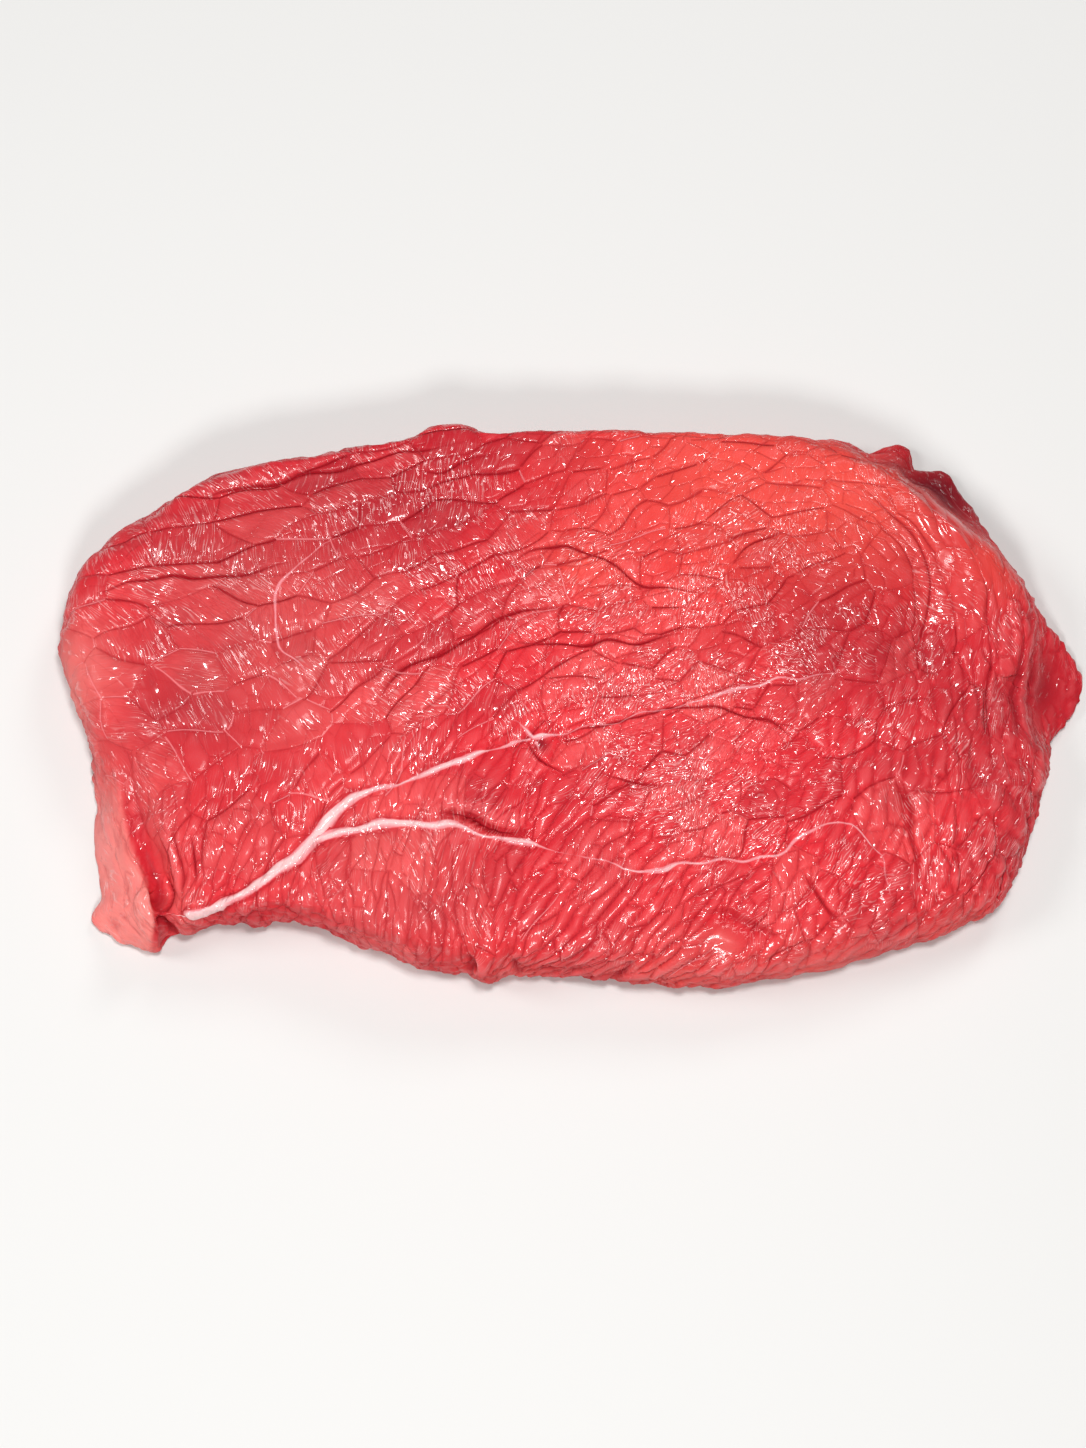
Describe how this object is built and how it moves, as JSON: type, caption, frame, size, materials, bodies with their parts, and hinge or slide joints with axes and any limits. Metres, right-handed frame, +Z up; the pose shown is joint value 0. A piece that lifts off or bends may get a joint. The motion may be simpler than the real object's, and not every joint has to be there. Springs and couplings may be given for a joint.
{
  "type": "rump steak",
  "caption": "Raw rump steak: an irregular flat slice of red beef with a forked white fat seam, creased muscle bundles, a slanted cut end and ragged scraps at one corner.",
  "frame": {"origin": "on the board, under the middle of the slice's box", "axes": "+Z up out of the best cut face, +X along the slice from its torn narrow end to its rounded end, +Y across it to the straighter far edge"},
  "size_m": [0.21, 0.1186, 0.0187],
  "materials": {
    "raw_beef": "wet raw beef: red muscle with white and pink fat seams, glossy with its own juice"
  },
  "bodies": {
    "root": {"steak": "raw_beef"}
  },
  "joints": []
}
